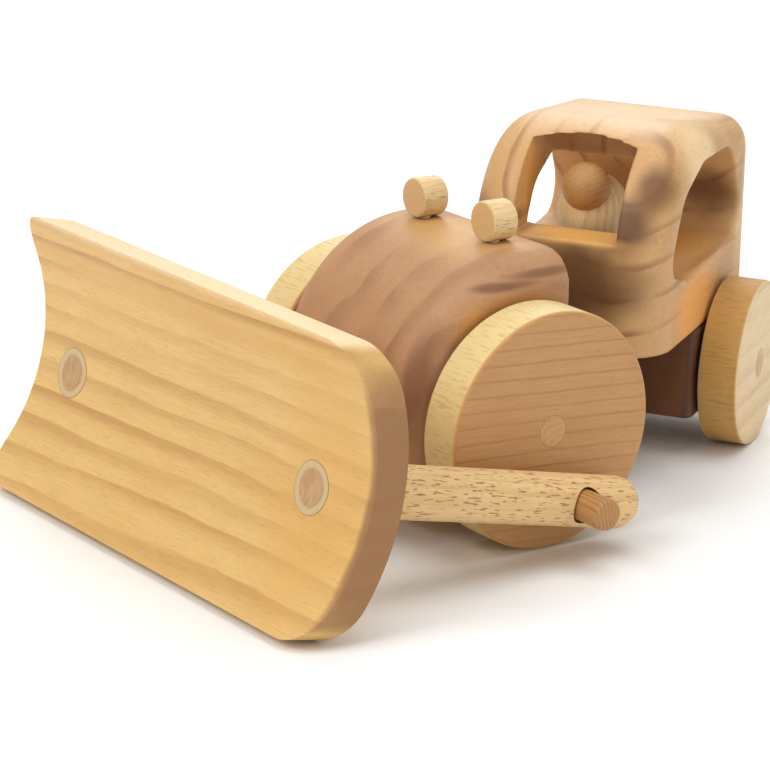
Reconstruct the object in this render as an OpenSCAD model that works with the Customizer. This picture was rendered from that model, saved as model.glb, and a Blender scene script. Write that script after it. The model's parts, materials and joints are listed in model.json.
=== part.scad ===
// Articulated wooden toy tractor with a crank-driven dozer blade.
// Frame: +X forward along the front part, +Y to its left, +Z up. The origin lies on the floor
// under the middle of the whole outline. Millimetres.
// Front part: hood, headlights, hitch tongue. Front wheelset: axle, two wheels, crank pegs.
// Blade frame: blade and two arms that hang on the crank pegs.
// Rear part: cab, chassis, driver, hitch pin. Rear wheelset: axle and two wheels.

/* [Front wheels] */
// Diameter of a front wheel
front_wheel_d = 80; // [76:1:84]
// Width of a front wheel's tread
front_wheel_w = 17; // [14:1:18]
// Distance from the middle to a front wheel's outer face
front_half_track = 59; // [58:0.5:61]
// Diameter of the front axle
axle_d = 10.5; // [8:0.5:12]
// Diameter of a crank peg
crank_peg_d = 10.4; // [8:0.2:11]
// Distance from the axle down to a crank peg
crank_throw = 20; // [16:1:24]

/* [Hood] */
// Width of the hood block
hood_w = 80; // [76:1:81]
// Radius of the hood's round nose, seen from the side
nose_r = 48.5; // [46:0.5:50]
// Radius of the hood's rounded side edges
hood_edge_r = 12; // [8:1:14]
// Height of the hood's underside
hood_clearance = 13; // [10:1:16]
// Diameter of a headlight
headlight_d = 13.5; // [11:0.5:16]
// Length of a headlight
headlight_len = 10; // [8:0.5:14]
// Distance between the headlights' middles
headlight_spacing = 38; // [34:1:44]

/* [Blade] */
// Width of the blade
blade_w = 193; // [180:1:200]
// How far the blade's middle lies to the left of the arms' middle
blade_offset = 4.5; // [0:0.5:8]
// Thickness of the blade
blade_t = 11.5; // [9:0.5:13]
// Radius of the blade's hollow front
scoop_r = 68; // [62:1:80]
// Height of the blade above the arms' middle line
blade_up = 50; // [44:1:52]
// Height of the blade below the arms' middle line
blade_down = 42; // [36:0.5:42]
// Radius of the blade's corners, seen from the front
blade_corner_r = 13; // [8:1:18]
// Diameter of an arm
arm_d = 17.3; // [15:0.1:18]
// Distance from a crank peg to the blade's front face
arm_reach = 105; // [98:1:112]
// Length of an arm behind its crank peg
arm_tail = 26; // [20:1:26]
// Distance from the middle to an arm's middle line
arm_y = 70.5; // [70:0.5:74]
// Slope of the arms while the blade stands on the floor
arm_slope = 11.5; // [11.5:0.1:14]

/* [Cab and chassis] */
// Width of the cab block
cab_w = 71; // [66:1:72]
// Height of the roof
roof_z = 122; // [118:0.5:126]
// How far the roof falls from the cab's front to its rear
roof_fall = 6.5; // [0:0.5:8]
// Distance from the rear axle to the cab's front
cab_front = 80; // [79:1:82]
// Radius of the cab's round front, seen from the side
brow_r = 40; // [36:1:44]
// Height of the joint between cab and chassis
cab_floor_z = 47; // [46:0.5:48]
// Height of the floor inside the cab
seat_z = 72.5; // [70:0.5:75]
// Width of the windscreen opening
windscreen_w = 37; // [30:1:40]
// Distance from the rear axle to the chassis block's front
chassis_front = 30; // [24:1:34]
// Diameter of the driver's body
driver_d = 25; // [22:1:27]
// Diameter of the driver's head
head_d = 17; // [15:0.5:19]

/* [Rear wheels] */
// Diameter of a rear wheel
rear_wheel_d = 60; // [56:1:62]
// Width of a rear wheel's tread
rear_wheel_w = 15; // [12:1:15]
// Distance from the middle to a rear wheel's outer face
rear_half_track = 52; // [52:0.5:54]

/* [Hitch] */
// Turn of the rear part about the hitch pin
rear_yaw = 33; // [0:1:34]
// Distance from the front axle back to the hitch pin
hitch_back = 52; // [50:1:54]
// Distance from the hitch pin back to the rear axle
hitch_to_rear_axle = 71; // [70:1:72]
// Diameter of the hitch pin
hitch_pin_d = 8; // [6:0.5:9]

/* [Hidden] */
$fn = 64;
fit = 0.05;            // radial clearance of a running or glued round fit
slack = 0.9;           // radial clearance of a crank peg in its arm

// Front part
front_r = front_wheel_d / 2;
wheel_edge_r = 1.6;
hood_rear = -20;
nose_x = -6;
nose_z = hood_clearance + 33;
hood_top = nose_z + nose_r;
chin_r = 18.5;
light_x = -3.5;
light_z = hood_top + headlight_d / 2;
light_pin_d = 4;
light_pin_z = hood_top - 11;
tongue_w = 26;
tongue_t = 14;
washer_t = 1.5;
tongue_z = cab_floor_z - washer_t - 0.5 - tongue_t;
tongue_let_in = 28;
tongue_dowel_d = 6;
tongue_dowel_x = [-13, -2];
peg_out = 18.5;        // how far a crank peg passes its arm's middle line
peg_in = 10;           // how deep a crank peg sits in its wheel
peg_z = front_r - crank_throw;

// Blade frame
arm_r = arm_d / 2;
scoop_u = arm_reach + scoop_r;
scoop_w = 2;

// Rear part
rear_r = rear_wheel_d / 2;
cab_back = -32.5;
cab_edge_r = 14;
brow_x = cab_front - brow_r;
brow_z = roof_z - brow_r;
chassis_z = 14;
rear_corner_r = 6;
side_window = [[-9, 83, 10], [3, 93, 15], [29, 91, 17.5], [43, 86, 17], [57, 80, 7.5]];
sill_z = 87;
windscreen_top = 118.5;
windscreen_arch_r = 80;
windscreen_depth = 44;
cab_dowel_d = 8;
cab_dowel_x = [-16, 14];
pin_head_d = 15;
pin_head_t = 5;
pin_top_z = cab_floor_z + 18;
driver_x = 47;
driver_top = 104;
head_x = 56;
head_z = 100.5;
driver_dowel_d = 6;

// Outline of the whole, which places the origin
nose_reach = (scoop_u - sqrt(pow(scoop_r, 2) - pow(blade_down + scoop_w, 2))) * cos(arm_slope)
    + blade_down * sin(arm_slope);
axle_back = hitch_back + hitch_to_rear_axle * cos(rear_yaw);
axle_side = -hitch_to_rear_axle * sin(rear_yaw);
tail_reach = axle_back + rear_r * cos(rear_yaw) + rear_half_track * sin(rear_yaw);
left_reach = blade_offset + blade_w / 2;
right_reach = -axle_side + rear_r * sin(rear_yaw) + rear_half_track * cos(rear_yaw);
front_axle_x = (tail_reach - nose_reach) / 2;
front_axle_y = (right_reach - left_reach) / 2;

// Places what is drawn from the floor point under the front axle
module in_front() {
    translate([front_axle_x, front_axle_y, 0]) children();
}

// Places what is drawn from the floor point under the rear axle
module in_rear() {
    in_front() translate([-hitch_back, 0, 0]) rotate(rear_yaw)
        translate([-hitch_to_rear_axle, 0, 0]) children();
}

// Places what is drawn along an arm: X along it from the crank peg, Z square to it
module in_blade_frame() {
    in_front() translate([0, 0, peg_z]) rotate([0, -arm_slope, 0]) children();
}

// Cylinder along Y from y0 to y1
module bar_y(r, y0, y1) {
    translate([0, y1, 0]) rotate([90, 0, 0]) cylinder(r = r, h = y1 - y0);
}

// Drum along Y with rounded edges
module drum(r, half_w, edge, facets) {
    rotate([90, 0, 0]) rotate_extrude($fn = facets) intersection() {
        union() {
            translate([0, -half_w]) square([r - edge, 2 * half_w]);
            translate([0, edge - half_w]) square([r, 2 * (half_w - edge)]);
            for (side = [-1, 1]) translate([r - edge, side * (half_w - edge)]) circle(edge, $fn = 32);
        }
        translate([0, -half_w]) square([r, 2 * half_w]);
    }
}

// Wheel whose outer face looks along +Y or -Y
module wheel(r, w, face_y, bores) {
    side = sign(face_y);
    translate([0, face_y - side * w / 2, r]) difference() {
        drum(r, w / 2, wheel_edge_r, 128);
        bar_y(bores / 2 + fit, -w, w);
    }
}

module front_wheel(side) {
    color("burlywood") in_front() difference() {
        wheel(front_r, front_wheel_w, side * front_half_track, axle_d);
        translate([0, 0, peg_z]) bar_y(crank_peg_d / 2 + fit,
            side > 0 ? front_half_track - peg_in : -front_half_track - 1,
            side > 0 ? front_half_track + 1 : peg_in - front_half_track);
    }
}

module front_wheel_left() {
    front_wheel(1);
}

module front_wheel_right() {
    front_wheel(-1);
}

module front_axle() {
    color("tan") in_front() translate([0, 0, front_r])
        bar_y(axle_d / 2, -front_half_track, front_half_track);
}

module crank_peg(side) {
    peg_len = arm_y + peg_out - front_half_track + peg_in;
    start = side > 0 ? front_half_track - peg_in : -front_half_track + peg_in - peg_len;
    color("peru") in_front() translate([0, 0, peg_z])
        bar_y(crank_peg_d / 2, start, start + peg_len);
}

module crank_peg_left() {
    crank_peg(1);
}

module crank_peg_right() {
    crank_peg(-1);
}

// Hood: a round nose over a round chin, cut flat below and behind
module hood_block() {
    color([0.71, 0.52, 0.36]) in_front() difference() {
        intersection() {
            hull() {
                translate([nose_x, 0, nose_z]) drum(nose_r, hood_w / 2, hood_edge_r, 96);
                translate([nose_x + nose_r - chin_r, 0, hood_clearance + chin_r])
                    drum(chin_r, hood_w / 2, hood_edge_r, 48);
            }
            translate([hood_rear, -hood_w, hood_clearance]) cube([100, 2 * hood_w, 100]);
        }
        translate([0, 0, front_r]) bar_y(axle_d / 2 + 2 * fit, -hood_w, hood_w);
        for (side = [-1, 1]) translate([light_x, side * headlight_spacing / 2, light_pin_z])
            cylinder(d = light_pin_d + 2 * fit, h = 20);
        translate([hood_rear - 1, -tongue_w / 2 - fit, tongue_z - fit])
            cube([tongue_let_in + 1 + fit, tongue_w + 2 * fit, tongue_t + 2 * fit]);
        for (x = tongue_dowel_x) translate([x, 0, 0])
            cylinder(d = tongue_dowel_d + 2 * fit, h = tongue_z + 1);
    }
}

module headlight(side) {
    color("wheat") in_front() translate([light_x, side * headlight_spacing / 2, light_z])
    difference() {
        rotate([0, 90, 0]) cylinder(d = headlight_d, h = headlight_len, center = true);
        translate([0, 0, -headlight_d]) cylinder(d = light_pin_d + 2 * fit, h = headlight_d);
    }
}

module headlight_left() {
    headlight(1);
}

module headlight_right() {
    headlight(-1);
}

module headlight_pins() {
    color("wheat") in_front() for (side = [-1, 1])
        translate([light_x, side * headlight_spacing / 2, light_pin_z])
            cylinder(d = light_pin_d, h = light_z - light_pin_z - fit);
}

// Tongue: let into the hood's rear, with a round end about the hitch pin
module hitch_tongue() {
    color([0.62, 0.45, 0.3]) in_front() difference() {
        union() {
            translate([-hitch_back, -tongue_w / 2, tongue_z])
                cube([hitch_back + hood_rear + tongue_let_in, tongue_w, tongue_t]);
            translate([-hitch_back, 0, tongue_z]) cylinder(d = tongue_w, h = tongue_t);
        }
        translate([-hitch_back, 0, 0]) cylinder(d = hitch_pin_d + 4 * fit, h = roof_z);
        translate([0, 0, front_r]) bar_y(axle_d / 2 + 0.4, -tongue_w, tongue_w);
        for (x = tongue_dowel_x) translate([x, 0, 0])
            cylinder(d = tongue_dowel_d + 2 * fit, h = tongue_z + 4);
    }
}

module tongue_dowels() {
    color("wheat") in_front() for (x = tongue_dowel_x) translate([x, 0, hood_clearance])
        cylinder(d = tongue_dowel_d, h = tongue_z + 3.5 - hood_clearance);
}

// Blade: a curved board whose hollow side faces forward
module blade() {
    across = blade_w / 2 - blade_corner_r;
    color([0.87, 0.7, 0.42]) in_blade_frame() difference() {
        intersection() {
            translate([scoop_u, blade_offset, scoop_w])
                bar_y(scoop_r + blade_t, -blade_w / 2, blade_w / 2);
            translate([0, blade_offset, 0]) rotate([90, 0, 90]) linear_extrude(scoop_u) union() {
                translate([-across, -blade_down]) square([2 * across, blade_up + blade_down]);
                translate([-blade_w / 2, blade_corner_r - blade_down])
                    square([blade_w, blade_up + blade_down - 2 * blade_corner_r]);
                for (x = [-across, across], z = [blade_corner_r - blade_down, blade_up - blade_corner_r])
                    translate([x, z]) circle(blade_corner_r);
            }
        }
        translate([scoop_u, 0, scoop_w]) bar_y(scoop_r, -blade_w, blade_w);
        for (side = [-1, 1]) translate([0, side * arm_y, 0]) rotate([0, 90, 0])
            cylinder(r = arm_r + fit, h = scoop_u);
    }
}

// Arm: round bar with a domed tail, flush with the blade's hollow front
module blade_arm(side) {
    color([0.88, 0.74, 0.5]) in_blade_frame() difference() {
        translate([0, side * arm_y, 0]) union() {
            translate([arm_r - arm_tail, 0, 0]) rotate([0, 90, 0])
                cylinder(r = arm_r, h = arm_reach + arm_tail);
            translate([arm_r - arm_tail, 0, 0]) sphere(arm_r);
        }
        translate([scoop_u, 0, scoop_w]) bar_y(scoop_r, -blade_w, blade_w);
        bar_y(crank_peg_d / 2 + slack, side * arm_y - arm_d, side * arm_y + arm_d);
    }
}

module blade_arm_left() {
    blade_arm(1);
}

module blade_arm_right() {
    blade_arm(-1);
}

module chassis_block() {
    color([0.5, 0.34, 0.22]) in_rear() difference() {
        translate([0, 0, chassis_z]) hull() for (x = [cab_back + 3, chassis_front - 3],
            y = [3 - cab_w / 2, cab_w / 2 - 3])
            translate([x, y, 0]) cylinder(r = 3, h = cab_floor_z - chassis_z, $fn = 32);
        translate([0, 0, rear_r]) bar_y(axle_d / 2 + 2 * fit, -cab_w, cab_w);
        for (x = cab_dowel_x) translate([x, 0, cab_floor_z - 10])
            cylinder(d = cab_dowel_d + 2 * fit, h = 20);
    }
}

// Outside of the cab: round brow in front, rounded roof that falls to the rear, flat underside
module cab_outside() {
    front_corner_r = 20;
    intersection() {
        hull() {
            translate([brow_x, 0, brow_z]) drum(brow_r, cab_w / 2, cab_edge_r, 64);
            translate([cab_back + cab_edge_r, 0, roof_z - roof_fall - cab_edge_r])
                drum(cab_edge_r, cab_w / 2, cab_edge_r - 4, 48);
            for (y = [front_corner_r - cab_w / 2, cab_w / 2 - front_corner_r])
                translate([cab_front - front_corner_r, y, cab_floor_z])
                    cylinder(r = front_corner_r, h = 2);
            for (y = [rear_corner_r - cab_w / 2, cab_w / 2 - rear_corner_r])
                translate([cab_back + rear_corner_r, y, cab_floor_z])
                    cylinder(r = rear_corner_r, h = 2);
        }
        translate([cab_back, -cab_w, cab_floor_z]) cube([200, 2 * cab_w, 200]);
    }
}

module cab_block() {
    color([0.8, 0.62, 0.42]) in_rear() difference() {
        cab_outside();
        translate([0, cab_w, 0]) rotate([90, 0, 0]) linear_extrude(2 * cab_w) hull()
            for (c = side_window) translate([c[0], c[1]]) circle(c[2], $fn = 32);
        translate([cab_front - windscreen_depth, 0, 0]) rotate([90, 0, 90])
            linear_extrude(windscreen_depth + 3) intersection() {
                translate([-windscreen_w / 2, sill_z]) square([windscreen_w, roof_z - sill_z]);
                translate([0, windscreen_top - windscreen_arch_r]) circle(windscreen_arch_r);
            }
        translate([hitch_to_rear_axle, 0, 0]) cylinder(d = hitch_pin_d + 2 * fit, h = pin_top_z + 0.2);
        for (x = cab_dowel_x) translate([x, 0, 0])
            cylinder(d = cab_dowel_d + 2 * fit, h = cab_floor_z + 10);
        translate([driver_x, 0, seat_z - 8]) cylinder(d = driver_dowel_d + 2 * fit, h = 10);
    }
}

module cab_dowels() {
    color("wheat") in_rear() for (x = cab_dowel_x) translate([x, 0, cab_floor_z - 9.5])
        cylinder(d = cab_dowel_d, h = 19);
}

// Hitch pin: a peg with a round head below the tongue
module hitch_pin() {
    color("wheat") in_rear() translate([hitch_to_rear_axle, 0, 0]) union() {
        translate([0, 0, tongue_z - 0.3 - pin_head_t]) cylinder(d = pin_head_d, h = pin_head_t);
        translate([0, 0, tongue_z - 0.3 - pin_head_t / 2])
            cylinder(d = hitch_pin_d, h = pin_top_z - tongue_z + 0.3 + pin_head_t / 2);
    }
}

module hitch_washer() {
    color("tan") in_rear() translate([hitch_to_rear_axle, 0, cab_floor_z - washer_t]) difference() {
        cylinder(d = 22, h = washer_t);
        translate([0, 0, -1]) cylinder(d = hitch_pin_d + 2 * fit, h = 4);
    }
}

// Driver: a round-topped peg with a ball for a head
module driver_body() {
    r = driver_d / 2;
    color([0.93, 0.86, 0.7]) in_rear() difference() {
        translate([driver_x, 0, seat_z]) union() {
            cylinder(r1 = r - 2.5, r2 = r, h = driver_top - seat_z - r);
            translate([0, 0, driver_top - seat_z - r]) sphere(r);
        }
        translate([driver_x, 0, seat_z - 1]) cylinder(d = driver_dowel_d + 2 * fit, h = 12);
        translate([head_x, 0, head_z]) sphere(head_d / 2 + fit);
    }
}

module driver_head() {
    color([0.7, 0.52, 0.32]) in_rear() translate([head_x, 0, head_z]) sphere(d = head_d);
}

module driver_dowel() {
    color("wheat") in_rear() translate([driver_x, 0, seat_z - 7.5])
        cylinder(d = driver_dowel_d, h = 18);
}

module rear_axle() {
    color("tan") in_rear() translate([0, 0, rear_r])
        bar_y(axle_d / 2, -rear_half_track, rear_half_track);
}

module rear_wheel_left() {
    color("burlywood") in_rear() wheel(rear_r, rear_wheel_w, rear_half_track, axle_d);
}

module rear_wheel_right() {
    color("burlywood") in_rear() wheel(rear_r, rear_wheel_w, -rear_half_track, axle_d);
}

hood_block();
headlight_left();
headlight_right();
headlight_pins();
hitch_tongue();
tongue_dowels();
front_axle();
front_wheel_left();
front_wheel_right();
crank_peg_left();
crank_peg_right();
blade();
blade_arm_left();
blade_arm_right();
chassis_block();
cab_block();
cab_dowels();
hitch_pin();
hitch_washer();
driver_body();
driver_head();
driver_dowel();
rear_axle();
rear_wheel_left();
rear_wheel_right();
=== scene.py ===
"""Wooden toy tractor with a dozer blade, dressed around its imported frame.

Everything is in metres. Each piece is built in the local frame of its half of the toy:
FRONT and REAR stand on the floor under their axles, ARM lies along the blade's arms.
"""

import json
import math

import bmesh
import bpy
from mathutils import Matrix, Vector


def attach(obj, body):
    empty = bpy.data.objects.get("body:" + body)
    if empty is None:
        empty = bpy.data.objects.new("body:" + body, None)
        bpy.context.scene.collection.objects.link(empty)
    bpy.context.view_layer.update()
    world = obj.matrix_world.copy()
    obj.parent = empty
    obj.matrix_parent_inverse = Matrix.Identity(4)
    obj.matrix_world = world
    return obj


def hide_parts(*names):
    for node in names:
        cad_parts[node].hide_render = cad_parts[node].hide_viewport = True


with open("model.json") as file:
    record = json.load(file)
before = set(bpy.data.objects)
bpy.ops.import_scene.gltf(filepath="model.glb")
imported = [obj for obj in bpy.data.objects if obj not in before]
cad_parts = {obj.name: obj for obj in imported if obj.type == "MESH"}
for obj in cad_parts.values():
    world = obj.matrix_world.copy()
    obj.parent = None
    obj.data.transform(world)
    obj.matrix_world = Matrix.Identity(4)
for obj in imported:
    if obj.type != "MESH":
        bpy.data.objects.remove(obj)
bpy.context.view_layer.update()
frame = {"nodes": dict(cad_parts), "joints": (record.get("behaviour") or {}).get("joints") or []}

MM = 0.001

# Camera, from the floor point under the front axle
CAMERA_OFFSET = Vector((0.6422, 0.8329, 0.3490))
CAMERA_YAW = math.radians(233.44)
CAMERA_PITCH = math.radians(16.4)
CAMERA_ROLL = math.radians(2.2)
CAMERA_LENS = 151.95

# Shapes that the frame's boxes don't give
ARM_SLOPE = math.radians(11.5)
SCOOP_R = 68 * MM
SCOOP_W = 2 * MM
BLADE_T = 11.5 * MM
BLADE_CORNER_R = 13 * MM
BLADE_EDGE_R = 2.2 * MM
ARM_END_PROUD = 0.12 * MM
PEG_HOLE_R = 6.1 * MM
WHEEL_EDGE_R = 1.6 * MM
SEAM = 0.12 * MM

# Windscreen: its tunnel is cut again, a little wider, so that its edges are clean
WINDSCREEN_ARCH_R = 80.4 * MM
WINDSCREEN_TOP = 118.8 * MM
WINDSCREEN_HALF = 18.8 * MM
WINDSCREEN_SILL = 87 * MM
WINDSCREEN_DEPTH = 34 * MM
WINDSCREEN_CLEAR = 3 * MM

# End grain where an arm shows in the blade
PLUG_CORE_R = 6.9 * MM
PLUG_RING_R = 7.6 * MM
PLUG_RAGGED = 2 * MM
PLUG_DEPTH = 2 * MM

# Fine relief of the wood's surface
RELIEF_STRENGTH = 0.22
RELIEF_DEPTH = 0.15 * MM

# Places, from the frame's joints
joints = {joint["name"]: joint for joint in frame["joints"]}
front_axle = Vector(joints["front_wheel_spin"]["pos_m"])
rear_axle = Vector(joints["rear_wheel_spin"]["pos_m"])
peg_line = Vector(joints["blade_level"]["pos_m"])
rear_axis = Vector(joints["rear_wheel_spin"]["axis"])
rear_yaw = math.atan2(-rear_axis.x, rear_axis.y)
FRONT = Matrix.Translation((front_axle.x, front_axle.y, 0))
REAR = Matrix.Translation((rear_axle.x, rear_axle.y, 0)) @ Matrix.Rotation(rear_yaw, 4, "Z")
ARM = Matrix.Translation(peg_line) @ Matrix.Rotation(-ARM_SLOPE, 4, "Y")


# ---------------------------------------------------------------- meshes

def extent(node, place):
    """Lowest and highest corner of a CAD node, in a local frame."""
    to_local = place.inverted()
    points = [to_local @ vertex.co for vertex in frame["nodes"][node].data.vertices]
    lowest = Vector([min(p[i] for p in points) for i in range(3)])
    highest = Vector([max(p[i] for p in points) for i in range(3)])
    return lowest, highest


def arc(centre, radius, start, end, steps=6):
    """Points (across, along) on an arc, angles in degrees."""
    points = []
    for i in range(steps + 1):
        angle = math.radians(start + (end - start) * i / steps)
        across = centre[0] + radius * math.cos(angle)
        points.append((across, centre[1] + radius * math.sin(angle)))
    return points


def finished(bm, name):
    """Turns a bmesh into a smooth-shaded mesh with its faces outward."""
    bmesh.ops.remove_doubles(bm, verts=bm.verts, dist=1e-7)
    bmesh.ops.recalc_face_normals(bm, faces=bm.faces)
    mesh = bpy.data.meshes.new(name)
    bm.to_mesh(mesh)
    bm.free()
    mesh.shade_smooth()
    return mesh


def turned(name, profile, axis, centre, facets=96, closed=False):
    """Mesh turned on a lathe about an axis, from points (radius, along)."""
    turn = {"X": Matrix.Rotation(math.pi / 2, 4, "Y"),
            "Y": Matrix.Rotation(-math.pi / 2, 4, "X"),
            "Z": Matrix.Identity(4)}[axis]
    place = Matrix.Translation(centre) @ turn
    bm = bmesh.new()
    rings = []
    for radius, along in profile:
        if radius < 1e-7:
            rings.append([bm.verts.new(place @ Vector((0, 0, along)))])
            continue
        ring = []
        for i in range(facets):
            angle = 2 * math.pi * i / facets
            point = Vector((radius * math.cos(angle), radius * math.sin(angle), along))
            ring.append(bm.verts.new(place @ point))
        rings.append(ring)
    if closed:
        rings.append(rings[0])
    for low, high in zip(rings, rings[1:]):
        join_rings(bm, low, high)
    return finished(bm, name)


def join_rings(bm, low, high):
    """Faces between two rings of vertices, either of which may be a single point."""
    count = max(len(low), len(high))
    for i in range(count):
        corners = [low[i % len(low)], low[(i + 1) % len(low)],
                   high[(i + 1) % len(high)], high[i % len(high)]]
        distinct = list(dict.fromkeys(corners))
        if len(distinct) > 2:
            bm.faces.new(distinct)


def bar_profile(radius, half, edge, flats=3):
    """Profile of a bar with rounded ends, from one end's middle to the other's."""
    inner = radius - edge
    cap = [(inner * i / flats, -half) for i in range(flats)]
    low = arc((inner, edge - half), edge, -90, 0)
    outline = cap + [(inner * 0.97, -half)] + low
    mirrored = [(across, -along) for across, along in reversed(outline)]
    return outline + mirrored


def wheel_profile(radius, half, edge, bore):
    """Closed profile of a wheel with a bore, rounded at its rim."""
    inner = radius - edge
    face = [(bore, SEAM - half), (bore + SEAM, -half), (bore + 2 * SEAM, -half)]
    middle = [(bore + (inner - bore) * share, -half) for share in (0.5, 0.97)]
    low = arc((inner, edge - half), edge, -90, 0)
    outline = face + middle + low
    mirrored = [(across, -along) for across, along in reversed(outline)]
    return outline + mirrored


def evaluated_mesh(obj, name):
    """Mesh of an object with its modifiers applied; the object is removed."""
    bpy.context.view_layer.update()
    graph = bpy.context.evaluated_depsgraph_get()
    mesh = bpy.data.meshes.new_from_object(obj.evaluated_get(graph))
    mesh.name = name
    bpy.data.objects.remove(obj)
    return mesh


def scratch_object(mesh):
    """Object that only carries modifiers until its mesh is taken."""
    obj = bpy.data.objects.new("scratch", mesh)
    bpy.context.scene.collection.objects.link(obj)
    return obj


def sanded(node, place, voxel, passes):
    """A CAD node's shape with its sharp edges sanded round, in a local frame."""
    mesh = frame["nodes"][node].data.copy()
    mesh.transform(place.inverted())
    mesh.materials.clear()
    bm = bmesh.new()
    bm.from_mesh(mesh)
    bmesh.ops.remove_doubles(bm, verts=bm.verts, dist=1e-6)
    obj = scratch_object(finished(bm, node))
    remesh = obj.modifiers.new("remesh", "REMESH")
    remesh.mode = "VOXEL"
    remesh.voxel_size = voxel
    smooth = obj.modifiers.new("smooth", "SMOOTH")
    smooth.factor = 0.5
    smooth.iterations = passes
    made = evaluated_mesh(obj, node)
    made.shade_smooth()
    return made


def rounded(mesh, width, angle=35, segments=3):
    """A mesh with its sharp edges bevelled."""
    obj = scratch_object(mesh)
    bevel = obj.modifiers.new("bevel", "BEVEL")
    bevel.width = width
    bevel.segments = segments
    bevel.limit_method = "ANGLE"
    bevel.angle_limit = math.radians(angle)
    bevel.harden_normals = True
    return evaluated_mesh(obj, mesh.name)


# ---------------------------------------------------------------- blade and arms

blade_lo, blade_hi = extent("blade", ARM)
scoop_u = blade_lo.x + SCOOP_R + BLADE_T
arm_lo, arm_hi = extent("blade_arm_left", ARM)
arm_middle = (arm_lo.y + arm_hi.y) / 2
arm_radius = (arm_hi.y - arm_lo.y) / 2


def scoop_front(w):
    """Place along the arm of the blade's hollow front, at height w."""
    return scoop_u - math.sqrt(SCOOP_R ** 2 - (w - SCOOP_W) ** 2)


def scoop_back(w):
    """Place along the arm of the blade's back, at height w."""
    return scoop_u - math.sqrt((SCOOP_R + BLADE_T) ** 2 - (w - SCOOP_W) ** 2)


def blade_rows():
    """Heights of the blade's rows, close together in its corners."""
    corner = [BLADE_CORNER_R * (1 - math.cos(math.radians(a))) for a in range(0, 90, 9)]
    low = [blade_lo.z + c for c in corner]
    high = [blade_hi.z - c for c in reversed(corner)]
    start = blade_lo.z + BLADE_CORNER_R
    span = blade_hi.z - blade_lo.z - 2 * BLADE_CORNER_R
    middle = [start + span * i / 24 for i in range(25)]
    return low + middle + high


def corner_inset(w):
    """How far the blade's end is drawn in at height w by its round corners."""
    to_end = min(w - blade_lo.z, blade_hi.z - w)
    short = max(0.0, BLADE_CORNER_R - to_end)
    return BLADE_CORNER_R - math.sqrt(BLADE_CORNER_R ** 2 - min(short, BLADE_CORNER_R) ** 2)


def blade_mesh():
    """The blade: a hollow-fronted board with round corners and rounded edges."""
    columns = 48
    bm = bmesh.new()
    sheets = []
    for surface in (scoop_front, scoop_back):
        rows = []
        for w in blade_rows():
            start = blade_lo.y + corner_inset(w)
            span = blade_hi.y - corner_inset(w) - start
            row = [bm.verts.new((surface(w), start + span * i / columns, w))
                   for i in range(columns + 1)]
            rows.append(row)
        for low, high in zip(rows, rows[1:]):
            for i in range(columns):
                bm.faces.new((low[i], low[i + 1], high[i + 1], high[i]))
        sheets.append(rows)
    front, back = [rim_of(rows) for rows in sheets]
    for i in range(len(front)):
        after = (i + 1) % len(front)
        bm.faces.new((front[i], front[after], back[after], back[i]))
    return rounded(finished(bm, "blade"), BLADE_EDGE_R, segments=4)


def rim_of(rows):
    """The vertices round the edge of a grid, in order."""
    right = [row[-1] for row in rows[1:-1]]
    left = [row[0] for row in reversed(rows[1:-1])]
    return rows[0] + right + list(reversed(rows[-1])) + left


def arm_mesh(node):
    """An arm: a bar with a domed tail, its front end flush with the blade's hollow."""
    lo, hi = extent(node, ARM)
    radius = (hi.y - lo.y) / 2
    middle_y = (hi.y + lo.y) / 2
    dome_u = lo.x + radius
    facets = 72
    bm = bmesh.new()
    rings = [[bm.verts.new((lo.x, middle_y, 0))]]
    for step in range(1, 13):
        angle = math.radians(90 * step / 12)
        rings.append(arm_ring(bm, middle_y, radius * math.sin(angle),
                              lambda w, a=angle: dome_u - radius * math.cos(a), facets))
    for share in (0.25, 0.5, 0.75):
        stop = dome_u + (scoop_front(0) - dome_u) * share
        rings.append(arm_ring(bm, middle_y, radius, lambda w, s=stop: s, facets))
    for share in (1.0, 0.985, 0.7, 0.35):
        sunk = 2 * ARM_END_PROUD if share == 1.0 else 0
        rings.append(arm_ring(bm, middle_y, radius * share,
                              lambda w, d=sunk: scoop_front(w) + ARM_END_PROUD - d, facets))
    rings.append([bm.verts.new((scoop_front(0) + ARM_END_PROUD, middle_y, 0))])
    for low, high in zip(rings, rings[1:]):
        join_rings(bm, low, high)
    return drilled(finished(bm, node), middle_y)


def arm_ring(bm, middle_y, radius, place_along, facets):
    """One ring of an arm; place_along gives each vertex's place from its height."""
    ring = []
    for i in range(facets):
        angle = 2 * math.pi * i / facets
        w = radius * math.sin(angle)
        ring.append(bm.verts.new((place_along(w), middle_y + radius * math.cos(angle), w)))
    return ring


def drilled(mesh, middle_y):
    """An arm with its oversize hole for the crank peg."""
    drill = turned("drill", bar_profile(PEG_HOLE_R, 20 * MM, 0.2 * MM), "Y",
                   Vector((0, middle_y, 0)), facets=64)
    return cut_away(mesh, drill)


def cut_away(mesh, tool):
    """A mesh with another mesh's shape cut out of it."""
    cutter = scratch_object(tool)
    obj = scratch_object(mesh)
    cut = obj.modifiers.new("cut", "BOOLEAN")
    cut.operation = "DIFFERENCE"
    cut.solver = "EXACT"
    cut.object = cutter
    made = evaluated_mesh(obj, mesh.name)
    bpy.data.objects.remove(cutter)
    made.set_sharp_from_angle(angle=math.radians(40))
    return made


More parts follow.
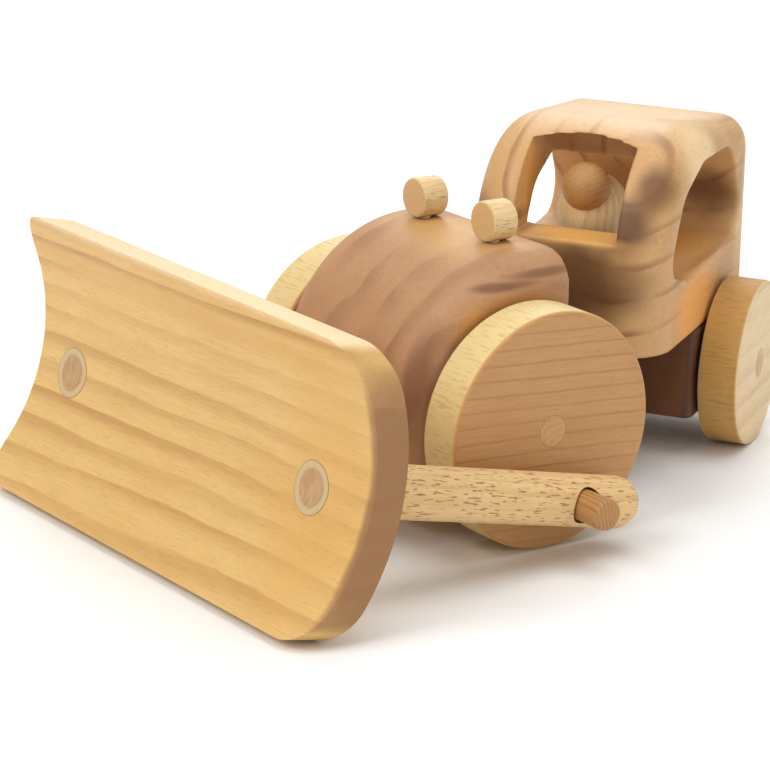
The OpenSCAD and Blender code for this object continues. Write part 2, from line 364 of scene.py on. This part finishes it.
def windscreen_tool(start, stop):
    """The windscreen's tunnel through the cab's front: level sill, arched top."""
    centre = WINDSCREEN_TOP - WINDSCREEN_ARCH_R
    outline = [(-WINDSCREEN_HALF, WINDSCREEN_SILL), (WINDSCREEN_HALF, WINDSCREEN_SILL)]
    for i in range(41):
        across = WINDSCREEN_HALF * (1 - i / 20)
        outline.append((across, centre + math.sqrt(WINDSCREEN_ARCH_R ** 2 - across ** 2)))
    bm = bmesh.new()
    ends = [[bm.verts.new((x, y, z)) for y, z in outline] for x in (start, stop)]
    join_rings(bm, *ends)
    bm.faces.new(reversed(ends[0]))
    bm.faces.new(ends[1])
    return finished(bm, "windscreen_tool")


# ---------------------------------------------------------------- materials

def srgb(red, green, blue):
    """A colour from 8-bit screen values to linear light."""
    linear = []
    for value in (red, green, blue):
        share = value / 255
        low = share / 12.92
        high = ((share + 0.055) / 1.055) ** 2.4
        linear.append(low if share <= 0.04045 else high)
    return (*linear, 1.0)


class Tree:
    """Short calls that add nodes to one material."""

    def __init__(self, name):
        self.material = bpy.data.materials.new(name)
        self.material.use_nodes = True
        self.nodes = self.material.node_tree.nodes
        self.links = self.material.node_tree.links
        self.shader = self.nodes["Principled BSDF"]

    def put(self, socket, value):
        """Sets a socket to a number or colour, or links it to another socket."""
        if isinstance(value, bpy.types.NodeSocket):
            self.links.new(value, socket)
        else:
            socket.default_value = value

    def coordinate(self, kind):
        """A texture coordinate."""
        return self.nodes.new("ShaderNodeTexCoord").outputs[kind]

    def math(self, operation, first, second=0.0, clamp=False):
        """One sum."""
        node = self.nodes.new("ShaderNodeMath")
        node.operation = operation
        node.use_clamp = clamp
        self.put(node.inputs[0], first)
        self.put(node.inputs[1], second)
        return node.outputs[0]

    def axis(self, vector, letter):
        """One of a vector's X, Y and Z."""
        node = self.nodes.new("ShaderNodeSeparateXYZ")
        self.put(node.inputs[0], vector)
        return node.outputs[letter]

    def vector(self, operation, first, second, output=0):
        """One sum on vectors."""
        node = self.nodes.new("ShaderNodeVectorMath")
        node.operation = operation
        self.put(node.inputs[0], first)
        self.put(node.inputs[1], second)
        return node.outputs[output]

    def noise(self, vector, scale=1.0, detail=2.0, rough=0.5, output=0):
        """Noise, about 0.5 in the middle."""
        node = self.nodes.new("ShaderNodeTexNoise")
        self.put(node.inputs["Vector"], vector)
        node.inputs["Scale"].default_value = scale
        node.inputs["Detail"].default_value = detail
        node.inputs["Roughness"].default_value = rough
        return node.outputs[output]

    def between(self, value, low, high):
        """0 below low, 1 above high, smooth between; low may be the larger."""
        node = self.nodes.new("ShaderNodeMapRange")
        node.interpolation_type = "SMOOTHSTEP"
        self.put(node.inputs["Value"], value)
        node.inputs["From Min"].default_value = low
        node.inputs["From Max"].default_value = high
        return node.outputs["Result"]

    def mix(self, share, first, second, blend="MIX"):
        """One colour mixed into another."""
        node = self.nodes.new("ShaderNodeMix")
        node.data_type = "RGBA"
        node.blend_type = blend
        self.put(node.inputs["Factor"], share)
        self.put(node.inputs[6], first)
        self.put(node.inputs[7], second)
        return node.outputs[2]


def along_grain(tree, grain, tilt):
    """Coordinates whose X runs along the grain, offset by a tilt of the board."""
    mapping = tree.nodes.new("ShaderNodeMapping")
    mapping.vector_type = "TEXTURE"
    turn = {"X": (0, 0, 0), "Y": (0, 0, math.pi / 2), "Z": (0, -math.pi / 2, 0)}[grain]
    mapping.inputs["Rotation"].default_value = turn
    tree.put(mapping.inputs["Vector"], tree.coordinate("Object"))
    leaning = tree.nodes.new("ShaderNodeMapping")
    leaning.inputs["Rotation"].default_value = [math.radians(angle) for angle in tilt]
    tree.put(leaning.inputs["Vector"], mapping.outputs[0])
    return leaning.outputs[0]


def ring_pattern(tree, grain, pith, spacing, wander, late_from):
    """Growth rings about a pith line: 0 in the early wood, 1 in the late wood."""
    drift = tree.vector("MULTIPLY", grain, (0.35, 1.0, 1.0))
    warp = tree.noise(drift, scale=22, detail=3, output=1)
    warp = tree.vector("SUBTRACT", warp, (0.5, 0.5, 0.5))
    warp = tree.vector("MULTIPLY", warp, (wander, wander, wander))
    moved = tree.vector("ADD", grain, warp)
    across = tree.vector("MULTIPLY", moved, (0, 1, 1))
    from_pith = tree.vector("SUBTRACT", across, (0, pith[0], pith[1]))
    distance = tree.vector("LENGTH", from_pith, (0, 0, 0), output=1)
    turns = tree.math("DIVIDE", distance, spacing)
    share = tree.math("FRACT", turns)
    rise = tree.between(share, late_from, 0.9)
    fall = tree.between(share, 1.0, 0.93)
    return tree.math("MULTIPLY", rise, fall)


def spot(tree, point, centre, size, ragged):
    """A soft patch, 1 in its middle; its edge is ragged by noise."""
    shifted = tree.vector("ADD", point, ragged)
    offset = tree.vector("SUBTRACT", shifted, centre)
    scaled = tree.vector("DIVIDE", offset, size)
    distance = tree.vector("LENGTH", scaled, (0, 0, 0), output=1)
    return tree.between(distance, 1.0, 0.3)


def patched(tree, colour, spots):
    """Adds coloured patches, some of them painted light or painted shade: place and half widths
    in the piece's frame, tone, strength.
    """
    ragged = tree.noise(tree.coordinate("Object"), scale=60, detail=4, output=1)
    ragged = tree.vector("SUBTRACT", ragged, (0.5, 0.5, 0.5))
    for centre, size, tone, share in spots:
        spread = tree.vector("MULTIPLY", ragged, [0.5 * value for value in size])
        patch = spot(tree, tree.coordinate("Object"), centre, size, spread)
        colour = tree.mix(tree.math("MULTIPLY", patch, share), colour, srgb(*tone))
    return colour


def wood(name, early, late, grain="X", tilt=(0, 0, 0), pith=(0.05, 0.03), spacing=0.006,
         wander=0.012, ring_share=0.5, late_from=0.25, fleck=None, fleck_share=0.5,
         fleck_size=(350, 2600), fleck_cut=0.63, cloud=0.25, cloud_tone=None, spots=(),
         rough=0.5, fibre_share=0.35, finish=None):
    """One wood: rings, fibres, pores or flecks, cloudy tone and coloured patches."""
    tree = Tree(name)
    lines = along_grain(tree, grain, tilt)
    rings = ring_pattern(tree, lines, pith, spacing, wander, late_from)
    strength = tree.noise(tree.vector("MULTIPLY", lines, (5, 75, 75)), detail=1)
    strength = tree.between(strength, 0.2, 0.72)
    rings = tree.math("MULTIPLY", rings, tree.math("MULTIPLY", strength, 2 * ring_share))
    colour = tree.mix(rings, early, late)
    clouds = tree.noise(tree.vector("MULTIPLY", lines, (16, 42, 42)), detail=3)
    cloud_mask = tree.math("MULTIPLY", tree.between(clouds, 0.42, 0.68), cloud)
    colour = tree.mix(cloud_mask, colour, cloud_tone or late)
    fibres = tree.noise(tree.vector("MULTIPLY", lines, (90, 1500, 1500)), detail=4, rough=0.65)
    fibre_tone = tree.between(fibres, 0.3, 0.7)
    colour = tree.mix(tree.math("MULTIPLY", fibre_tone, fibre_share), colour,
                      tree.mix(1.0, colour, (0.72, 0.66, 0.58, 1), "MULTIPLY"))
    colour = patched(tree, colour, spots)
    along, across = fleck_size
    dashes = tree.noise(tree.vector("MULTIPLY", lines, (along, across, across)), detail=1)
    dash_mask = tree.between(dashes, fleck_cut, fleck_cut + 0.09)
    colour = tree.mix(tree.math("MULTIPLY", dash_mask, fleck_share), colour, fleck or late)
    if finish:
        colour = finish(tree, colour)
    finish_wood(tree, colour, fibres, dash_mask, rough)
    return tree.material


def finish_wood(tree, colour, fibres, dashes, rough):
    """Colour, roughness and fine relief to the shader."""
    tree.put(tree.shader.inputs["Base Color"], colour)
    spread = tree.math("MULTIPLY", tree.math("SUBTRACT", fibres, 0.5), 0.3)
    tree.put(tree.shader.inputs["Roughness"], tree.math("ADD", spread, rough))
    tree.shader.inputs["Specular IOR Level"].default_value = 0.35
    pores = tree.math("MULTIPLY", dashes, 0.6)
    height = tree.math("SUBTRACT", fibres, pores)
    bump = tree.nodes.new("ShaderNodeBump")
    bump.inputs["Strength"].default_value = RELIEF_STRENGTH
    bump.inputs["Distance"].default_value = RELIEF_DEPTH
    tree.put(bump.inputs["Height"], height)
    tree.put(tree.shader.inputs["Normal"], bump.outputs[0])


def blade_wood():
    """Golden board with fine wavy lines along its width and a brown left end."""
    end_y = blade_hi.y
    return wood("blade_wood", srgb(222, 184, 118), srgb(184, 136, 76), grain="Y",
                tilt=(0, 1.5, 0), pith=(-0.05, -0.30), spacing=0.0088, wander=0.0085,
                ring_share=0.42, late_from=0.3, cloud=0.45, cloud_tone=srgb(210, 166, 98),
                fleck=srgb(176, 128, 70), fleck_share=0.3, fleck_size=(240, 1900),
                spots=[((0.10, end_y - 0.022, 0.0), (0.08, 0.035, 0.06), (212, 164, 90), 0.6),
                       ((0.10, 0.0, blade_hi.z - 0.012), (0.08, 0.2, 0.006),
                        (208, 164, 96), 0.6),
                       ((0.13, 0.0, blade_hi.z + 0.001), (0.05, 0.3, 0.0042),
                        (240, 212, 168), 0.8),
                       ((scoop_back(0), end_y, 0), (0.05, 0.0045, 0.09), (146, 102, 66), 0.9)])


def hood_wood():
    """Pinkish brown block with a dark streak near its left edge; its top golden, partly the
    wood's tone and partly painted light from above; its lower front darker, partly the wood's
    tone and partly painted shade.
    """
    streak = (116, 76, 50)
    return wood("hood_wood", srgb(184, 140, 102), srgb(156, 112, 80), grain="X",
                pith=(0.19, 0.02), spacing=0.016, wander=0.03, ring_share=0.4,
                late_from=0.1, cloud=0.5, cloud_tone=srgb(194, 152, 112),
                fleck=srgb(122, 84, 56), fleck_share=0.35,
                # Lower front: darker, partly the wood's tone and partly painted shade.
                spots=[((0.045, 0.0, 0.038), (0.03, 0.05, 0.034), (150, 104, 78), 0.65),
                       # Top: golden, partly the wood's tone and partly painted light from above.
                       ((-0.004, 0.004, 0.098), (0.034, 0.046, 0.018), (200, 156, 96), 0.85),
                       ((0.037, 0.0345, 0.056), (0.015, 0.006, 0.027), (122, 80, 54), 0.75),
                       ((0.004, 0.041, 0.073), (0.036, 0.0055, 0.014), (208, 146, 74), 0.85),
                       ((0.009, 0.0385, 0.0846), (0.021, 0.006, 0.0022), streak, 0.75),
                       ((-0.009, 0.038, 0.0872), (0.019, 0.006, 0.0022), streak, 0.7)])


def cab_wood():
    """Tan block: dark about its near front post, partly heartwood and partly painted shade;
    painted shade on its lower front and on its back wall inside; a pale roof, partly painted
    light from above.
    """
    return wood("cab_wood", srgb(208, 164, 112), srgb(150, 104, 62), grain="X",
                pith=(0.020, 0.112), spacing=0.0115, wander=0.010, ring_share=0.45,
                late_from=0.7, cloud=0.3, cloud_tone=srgb(196, 150, 100),
                fleck=srgb(134, 92, 58), fleck_share=0.3, spots=cab_spots())


def cab_spots():
    """Coloured patches of the cab, several of them painted light or painted shade: place, size,
    tone, strength.
    """
    # First patch: the pale roof, partly the wood's tone and partly painted light from above.
    return [((0.004, 0.0, 0.126), (0.075, 0.06, 0.024), (228, 198, 158), 0.85),
            ((-0.03, 0.037, 0.085), (0.022, 0.012, 0.045), (232, 200, 150), 0.7),
            ((0.036, 0.034, 0.112), (0.024, 0.012, 0.018), (246, 214, 164), 0.85),
            # Painted shade on the lower front, below the windscreen; then dark patches about the
            # near front post, partly heartwood and partly painted shade.
            ((0.080, 0.0, 0.072), (0.03, 0.040, 0.022), (96, 62, 34), 0.9),
            ((0.079, 0.021, 0.094), (0.018, 0.014, 0.014), (98, 64, 42), 0.9),
            ((0.072, 0.029, 0.106), (0.018, 0.010, 0.012), (112, 74, 46), 0.85),
            ((0.034, 0.037, 0.057), (0.038, 0.014, 0.018), (238, 168, 88), 0.85),
            ((0.010, 0.0, 0.0715), (0.05, 0.05, 0.0035), (222, 164, 88), 0.85),
            # Painted shade on the back wall inside the cab, darkest on the near side.
            ((-0.019, 0.024, 0.092), (0.009, 0.018, 0.022), (106, 68, 42), 0.85),
            ((-0.019, -0.01, 0.092), (0.009, 0.022, 0.022), (176, 130, 80), 0.8),
            ((0.070, 0.006, 0.087), (0.020, 0.030, 0.0035), (226, 170, 92), 0.85),
            ((0.060, -0.0180, 0.101), (0.016, 0.0024, 0.022), (226, 164, 82), 0.85),
            ((0.073, -0.037, 0.090), (0.014, 0.012, 0.014), (126, 90, 60), 0.8),
            ((-0.019, -0.0035, 0.0985), (0.005, 0.0034, 0.0030), (70, 44, 28), 0.95)]


def chassis_wood():
    """Dark brown block under the cab; its dark tone is partly the wood's own and partly painted
    shade, as the block stands in shade under the cab.
    """
    return wood("chassis_wood", srgb(116, 74, 44), srgb(84, 52, 30), grain="Z",
                spacing=0.008, ring_share=0.6, cloud=0.4, fleck=srgb(60, 36, 22))


def wheel_finish(tread, dash, rim):
    """Gives a wheel its tread tone, dashed along the axle, with an edge line; the tread's tone,
    set off from the face, is partly painted light and shade: the front treads paler, lit from
    above, the rear treads darker, in the cab's shadow.
    """
    def finish(tree, colour):
        slope = tree.math("ABSOLUTE", tree.axis(tree.coordinate("Normal"), "Y"))
        stretched = tree.vector("MULTIPLY", tree.coordinate("Object"), (1300, 150, 1300))
        dashes = tree.between(tree.noise(stretched, detail=2), 0.5, 0.68)
        toned = tree.mix(tree.math("MULTIPLY", dashes, 0.5), srgb(*tread), srgb(*dash))
        # The tread tone: partly painted light on the front wheels and painted shadow on the rear
        # wheels.
        colour = tree.mix(tree.between(slope, 0.85, 0.45), colour, toned)
        inner = tree.between(slope, 0.2, 0.55)
        outer = tree.between(slope, 0.95, 0.65)
        line = tree.math("MULTIPLY", tree.math("MULTIPLY", inner, outer), 0.6)
        return tree.mix(line, colour, srgb(*rim))
    return finish


def front_wheel_wood():
    """Tan wheel with fine, broken, nearly level lines across its face; its paler tread is partly
    painted light from above.
    """
    return wood("wheel_wood", srgb(198, 150, 98), srgb(158, 110, 66), grain="X",
                tilt=(0, 3, 0), pith=(0.02, 0.26), spacing=0.0049, wander=0.006,
                ring_share=0.24, late_from=0.75, cloud=0.5, cloud_tone=srgb(184, 134, 82),
                fleck=srgb(152, 106, 64), fleck_share=0.4, fleck_size=(260, 3000),
                finish=wheel_finish((222, 198, 142), (194, 158, 98), (196, 140, 70)))


def rear_wheel_wood():
    """Cream wheel with a darker, dashed tread, its darkness partly painted shadow of the cab."""
    return wood("rear_wheel_wood", srgb(232, 206, 162), srgb(214, 180, 130), grain="X",
                pith=(0.02, 0.16), spacing=0.009, wander=0.01, ring_share=0.4,
                cloud=0.4, cloud_tone=srgb(238, 216, 178), fleck=srgb(200, 160, 110),
                fleck_share=0.3,
                finish=wheel_finish((196, 152, 84), (164, 120, 60), (238, 214, 170)))


def plug_finish(tree, colour):
    """Gives an arm its end grain where it comes through the blade: core, ring, outline."""
    point = tree.coordinate("Object")
    side = tree.math("SUBTRACT", tree.math("ABSOLUTE", tree.axis(point, "Y")), arm_middle)
    height = tree.axis(point, "Z")
    squares = tree.math("ADD", tree.math("MULTIPLY", side, side),
                        tree.math("MULTIPLY", height, height))
    radius = tree.math("SQRT", squares)
    fine = tree.noise(tree.vector("MULTIPLY", point, (300, 700, 300)), detail=2)
    core = tree.mix(tree.between(fine, 0.35, 0.65), srgb(188, 152, 108), srgb(176, 138, 96))
    ragged = tree.math("ADD", radius, tree.math("MULTIPLY", fine, PLUG_RAGGED))
    ring = tree.between(ragged, PLUG_CORE_R, PLUG_RING_R)
    toned = tree.mix(ring, core, srgb(196, 172, 130))
    outline = tree.between(radius, arm_radius - 0.55 * MM, arm_radius - 0.1 * MM)
    toned = tree.mix(tree.math("MULTIPLY", outline, 0.8), toned, srgb(142, 104, 66))
    front = scoop_front(0) - PLUG_DEPTH
    through = tree.between(tree.axis(point, "X"), front - 0.5 * MM, front)
    return tree.mix(through, colour, toned)


def arm_wood():
    """Pale beech with many short flecks along the bar."""
    return wood("arm_wood", srgb(232, 198, 142), srgb(210, 170, 112), grain="X",
                spacing=0.004, ring_share=0.3, cloud=0.2, fleck=srgb(160, 108, 62),
                fleck_share=0.85, fleck_size=(260, 1500), fleck_cut=0.585, finish=plug_finish)


def dowel_wood():
    """Orange-brown peg wood."""
    return wood("dowel_wood", srgb(190, 142, 88), srgb(152, 104, 58), grain="Y",
                spacing=0.0016, ring_share=0.5, fleck=srgb(126, 84, 48))


def axle_wood(name, tone):
    """Axle wood, a little off its wheel's tone at the flush ends."""
    return wood(name, srgb(*tone), srgb(164, 118, 72), grain="Y", pith=(0.004, 0.03),
                spacing=0.0022, ring_share=0.15, cloud=0.5)


def light_wood():
    """Pale wood of the headlights, their sawn ends a little darker."""
    return wood("light_wood", srgb(230, 202, 152), srgb(206, 170, 118), grain="X",
                spacing=0.0024, ring_share=0.3, fleck=srgb(164, 118, 72),
                fleck_share=0.7, fleck_size=(260, 1900), fleck_cut=0.60, finish=sawn_ends)


def sawn_ends(tree, colour):
    """Darkens the faces that look along X."""
    slope = tree.math("ABSOLUTE", tree.axis(tree.coordinate("Normal"), "X"))
    return tree.mix(tree.math("MULTIPLY", tree.between(slope, 0.75, 0.95), 0.8), colour,
                    srgb(206, 166, 112))


def driver_wood():
    """Pale cream wood of the driver's body."""
    return wood("driver_wood", srgb(232, 208, 162), srgb(206, 172, 118), grain="Z",
                spacing=0.003, ring_share=0.3, fleck=srgb(186, 148, 98))


def head_wood():
    """Brown wood of the driver's head, its end grain to the front."""
    return wood("driver_head_wood", srgb(186, 138, 84), srgb(142, 98, 56), grain="X",
                spacing=0.0016, ring_share=0.22, fleck=srgb(112, 72, 42), fleck_share=0.4)


# ---------------------------------------------------------------- pieces

def piece(name, mesh, place, body, material, node):
    """Puts a mesh in the scene as one piece that stands for a CAD node."""
    obj = bpy.data.objects.new(name, mesh)
    bpy.context.scene.collection.objects.link(obj)
    obj.matrix_world = place
    mesh.materials.clear()
    mesh.materials.append(material)
    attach(obj, body)
    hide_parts(node)
    return obj


def dress(node, material, edge):
    """Gives a CAD node that stays its wood and small rounded edges."""
    obj = frame["nodes"][node]
    obj.data.materials.clear()
    obj.data.materials.append(material)
    weld = obj.modifiers.new("weld", "WELD")
    weld.merge_threshold = 0.005 * MM
    bevel = obj.modifiers.new("bevel", "BEVEL")
    bevel.width = edge
    bevel.segments = 2
    bevel.limit_method = "ANGLE"
    bevel.angle_limit = math.radians(50)


def add_wheel(node, axle_node, place, body, material):
    """A wheel with a rounded rim and a bore for its axle."""
    lo, hi = extent(node, place)
    axle_lo, axle_hi = extent(axle_node, place)
    bore = (axle_hi.z - axle_lo.z) / 2 + 0.05 * MM
    profile = wheel_profile((hi.z - lo.z) / 2, (hi.y - lo.y) / 2, WHEEL_EDGE_R, bore)
    mesh = turned(node, profile, "Y", (lo + hi) / 2, facets=160, closed=True)
    piece(node + "_turned", mesh, place, body, material, node)


def add_bar(node, place, body, material, axis, edge):
    """A round bar with rounded ends: an axle, a peg or a headlight."""
    lo, hi = extent(node, place)
    index = "XYZ".index(axis)
    half = (hi[index] - lo[index]) / 2
    radius = (hi[(index + 1) % 3] - lo[(index + 1) % 3]) / 2
    mesh = turned(node, bar_profile(radius, half, edge), axis, (lo + hi) / 2)
    piece(node + "_turned", mesh, place, body, material, node)


def add_driver():
    """Driver: an egg-shaped peg with a ball for a head."""
    lo, hi = extent("driver_body", REAR)
    radius = (hi.y - lo.y) / 2
    waist = radius - 2.5 * MM
    height = hi.z - lo.z
    dome = arc((0, height - radius), radius, 0, 90, steps=14)
    foot = [(0, 0), (waist * 0.6, 0), (waist, 0)]
    middle = Vector(((lo.x + hi.x) / 2, (lo.y + hi.y) / 2, lo.z))
    body = turned("driver_body", foot + dome, "Z", middle, facets=72)
    piece("driver_body_turned", body, REAR, "rear_body", driver_wood(),
          "driver_body")
    lo, hi = extent("driver_head", REAR)
    ball = turned("driver_head", arc((0, 0), (hi.z - lo.z) / 2, -90, 90, steps=28), "X",
                  (lo + hi) / 2, facets=56)
    piece("driver_head_turned", ball, REAR, "rear_body", head_wood(),
          "driver_head")


def add_front():
    """Hood, headlights and everything that turns with the front axle."""
    hood = sanded("hood_block", FRONT, voxel=0.8 * MM, passes=8)
    piece("hood", hood, FRONT, "front_body", hood_wood(), "hood_block")
    lights = light_wood()
    for side in ("left", "right"):
        add_bar("headlight_" + side, FRONT, "front_body", lights, "X", 0.9 * MM)
    wheels = front_wheel_wood()
    pegs = dowel_wood()
    for side in ("left", "right"):
        add_wheel("front_wheel_" + side, "front_axle", FRONT, "front_wheelset", wheels)
        add_bar("crank_peg_" + side, FRONT, "front_wheelset", pegs, "Y", 1.3 * MM)
    axle = axle_wood("front_axle_wood", (204, 158, 108))
    add_bar("front_axle", FRONT, "front_wheelset", axle, "Y", SEAM)


def add_blade_frame():
    """Blade and its two arms."""
    piece("blade_board", blade_mesh(), ARM, "blade_frame", blade_wood(), "blade")
    arms = arm_wood()
    for side in ("left", "right"):
        node = "blade_arm_" + side
        piece(node + "_turned", arm_mesh(node), ARM, "blade_frame", arms, node)


def add_rear():
    """Cab, chassis, driver and rear wheels."""
    front = extent("cab_block", REAR)[1].x
    tool = windscreen_tool(front - WINDSCREEN_DEPTH, front + WINDSCREEN_CLEAR)
    cab = cut_away(sanded("cab_block", REAR, voxel=0.7 * MM, passes=14), tool)
    piece("cab", cab, REAR, "rear_body", cab_wood(), "cab_block")
    chassis = sanded("chassis_block", REAR, voxel=0.8 * MM, passes=6)
    piece("chassis", chassis, REAR, "rear_body", chassis_wood(), "chassis_block")
    add_driver()
    wheels = rear_wheel_wood()
    for side in ("left", "right"):
        add_wheel("rear_wheel_" + side, "rear_axle", REAR, "rear_wheelset", wheels)
    axle = axle_wood("rear_axle_wood", (222, 190, 140))
    add_bar("rear_axle", REAR, "rear_wheelset", axle, "Y", SEAM)


def add_hidden():
    """The hitch and the dowels keep their CAD shapes."""
    dress("hitch_tongue", bpy.data.materials["chassis_wood"], 0.8 * MM)
    dress("hitch_pin", bpy.data.materials["dowel_wood"], 0.6 * MM)
    dress("hitch_washer", bpy.data.materials["light_wood"], 0.2 * MM)
    for node in ("headlight_pins", "tongue_dowels", "cab_dowels", "driver_dowel"):
        dress(node, bpy.data.materials["light_wood"], 0.3 * MM)


# ---------------------------------------------------------------- camera, floor and light

def add_camera():
    """Camera at the toy's front left, a little above it."""
    ahead = Vector((math.cos(CAMERA_YAW) * math.cos(CAMERA_PITCH),
                    math.sin(CAMERA_YAW) * math.cos(CAMERA_PITCH),
                    -math.sin(CAMERA_PITCH)))
    level = Vector((math.sin(CAMERA_YAW), -math.cos(CAMERA_YAW), 0))
    above = level.cross(ahead)
    right = math.cos(CAMERA_ROLL) * level + math.sin(CAMERA_ROLL) * above
    up = math.cos(CAMERA_ROLL) * above - math.sin(CAMERA_ROLL) * level
    turn = Matrix((right, up, -ahead)).transposed().to_4x4()
    camera = bpy.data.objects.new("camera", bpy.data.cameras.new("camera"))
    bpy.context.scene.collection.objects.link(camera)
    camera.matrix_world = Matrix.Translation(FRONT.translation + CAMERA_OFFSET) @ turn
    camera.data.lens = CAMERA_LENS
    camera.data.clip_start = 0.01
    camera.data.clip_end = 50
    bpy.context.scene.camera = camera


def add_floor():
    """A wide, plain, pale floor."""
    half = 6.0
    mesh = bpy.data.meshes.new("floor")
    corners = [(-half, -half, 0), (half, -half, 0), (half, half, 0), (-half, half, 0)]
    mesh.from_pydata(corners, [], [(0, 1, 2, 3)])
    floor = bpy.data.objects.new("floor", mesh)
    bpy.context.scene.collection.objects.link(floor)
    tree = Tree("floor_paper")
    tree.shader.inputs["Base Color"].default_value = (0.92, 0.92, 0.92, 1)
    tree.shader.inputs["Roughness"].default_value = 0.9
    tree.shader.inputs["Specular IOR Level"].default_value = 0.1
    mesh.materials.append(tree.material)


def add_light(name, place, aim, size, power, colour=(1, 1, 1)):
    """One large soft lamp."""
    data = bpy.data.lights.new(name, "AREA")
    data.shape = "DISK"
    data.size = size
    data.energy = power
    data.color = colour
    lamp = bpy.data.objects.new(name, data)
    bpy.context.scene.collection.objects.link(lamp)
    lamp.location = place
    lamp.rotation_euler = (Vector(aim) - Vector(place)).to_track_quat("-Z", "Y").to_euler()


def add_lights():
    """Soft daylight from above, from the front and from behind, weaker on the left side."""
    world = bpy.data.worlds.new("world")
    world.use_nodes = True
    background = world.node_tree.nodes["Background"]
    background.inputs["Color"].default_value = (1.0, 0.99, 0.97, 1)
    background.inputs["Strength"].default_value = 0.5
    bpy.context.scene.world = world
    middle = (0, 0, 0.05)
    add_light("key", (1.3, 0.1, 1.1), middle, 1.0, 13, (1.0, 0.99, 0.97))
    add_light("top", (-0.1, 0.2, 1.7), middle, 1.4, 11)
    add_light("fill", (-0.2, 1.6, 0.7), middle, 1.2, 3.5, (1.0, 0.99, 0.97))
    add_light("back", (-1.3, -1.6, 1.5), (-0.5, -0.6, 0), 1.6, 22)


add_camera()
add_floor()
add_lights()
add_front()
add_blade_frame()
add_rear()
add_hidden()
bpy.context.scene.view_settings.view_transform = "Standard"
